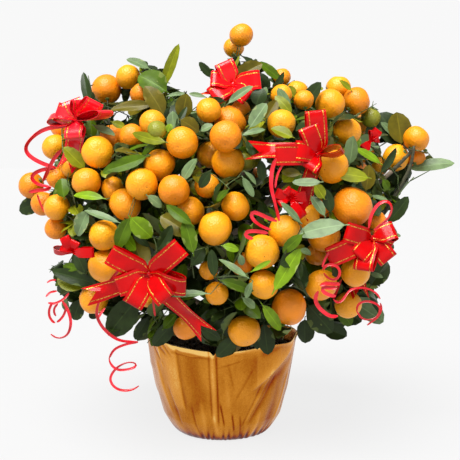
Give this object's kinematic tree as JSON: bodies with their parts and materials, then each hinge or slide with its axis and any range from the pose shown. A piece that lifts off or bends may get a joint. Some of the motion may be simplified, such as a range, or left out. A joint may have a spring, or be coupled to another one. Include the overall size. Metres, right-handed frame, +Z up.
{
  "type": "potted calamondin orange tree with ribbon bows",
  "caption": "Small fruiting calamondin bush in a foil-wrapped pot, with boughs, leafy fruiting masses and red ribbon bows.",
  "frame": {"origin": "centre of the pot's flat underside", "axes": "+Z up along the pot's axis, the front of the tree faces -Y, +X to its right as seen from the front"},
  "size_m": [0.4877, 0.3814, 0.4477],
  "materials": {
    "foil": "gloss",
    "soil": "matte",
    "bark": "matte",
    "foliage": "satin",
    "fruit": "satin",
    "ribbon": "satin"
  },
  "bodies": {
    "root": {"pot": "foil", "soil": "soil", "trunk": "bark", "bough_top": "bark", "bough_upper_left": "bark", "bough_left_upper": "bark", "bough_left_outer": "bark", "bough_left_low": "bark", "bough_upper_right": "bark", "bough_right_upper": "bark", "bough_far_right": "bark", "bough_right": "bark", "bough_right_low": "bark", "bough_front_left_top": "bark", "bough_front_mid_left": "bark", "bough_front_top": "bark", "bough_front_right_top": "bark", "bough_front_centre": "bark", "bough_front_left": "bark", "bough_front_mid_right": "bark", "bough_front_right": "bark", "bough_front_low_left": "bark", "bough_front_low_right": "bark", "bough_back_top": "bark", "bough_back_upper_left": "bark", "bough_back_upper_right": "bark", "bough_back_left": "bark", "bough_back": "bark", "bough_back_right": "bark", "foliage_top": "foliage", "foliage_upper_left": "foliage", "foliage_left_upper": "foliage", "foliage_left_outer": "foliage", "foliage_left_low": "foliage", "foliage_upper_right": "foliage", "foliage_right_upper": "foliage", "foliage_far_right": "foliage", "foliage_right": "foliage", "foliage_right_low": "foliage", "foliage_front_left_top": "foliage", "foliage_front_mid_left": "foliage", "foliage_front_top": "foliage", "foliage_front_right_top": "foliage", "foliage_front_centre": "foliage", "foliage_front_left": "foliage", "foliage_front_mid_right": "foliage", "foliage_front_right": "foliage", "foliage_front_low_left": "foliage", "foliage_front_low_right": "foliage", "foliage_back_top": "foliage", "foliage_back_upper_left": "foliage", "foliage_back_upper_right": "foliage", "foliage_back_left": "foliage", "foliage_back": "foliage", "foliage_back_right": "foliage", "bow_upper_left": "ribbon", "bow_top": "ribbon", "bow_right_upper": "ribbon", "bow_lower_left": "ribbon", "bow_right": "ribbon"}
  },
  "joints": []
}
